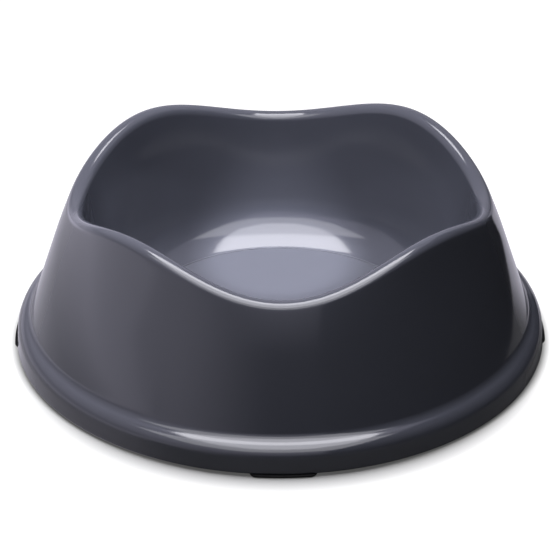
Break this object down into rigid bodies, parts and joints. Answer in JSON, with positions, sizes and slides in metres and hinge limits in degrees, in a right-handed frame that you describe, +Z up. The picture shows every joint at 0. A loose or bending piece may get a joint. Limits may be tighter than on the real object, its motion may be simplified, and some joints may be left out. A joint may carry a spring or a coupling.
{
  "type": "pet food and water bowl",
  "caption": "Round pet bowl for food or water: a moulded shell with a sloping skirt, a wavy rolled rim and a flanged base on rubber feet.",
  "frame": {"origin": "middle of the base on the ground that the feet stand on", "axes": "+Z up along the bowl's axis, -Y towards the front dip of the rim, +X to the right seen from the front"},
  "size_m": [0.2432, 0.2432, 0.0821],
  "materials": {
    "shell": "glossy moulded polypropylene, slate grey",
    "foot": "matt moulded rubber, black"
  },
  "bodies": {
    "root": {"bowl": "shell", "foot_front": "foot", "foot_right": "foot", "foot_back": "foot", "foot_left": "foot"}
  },
  "joints": []
}
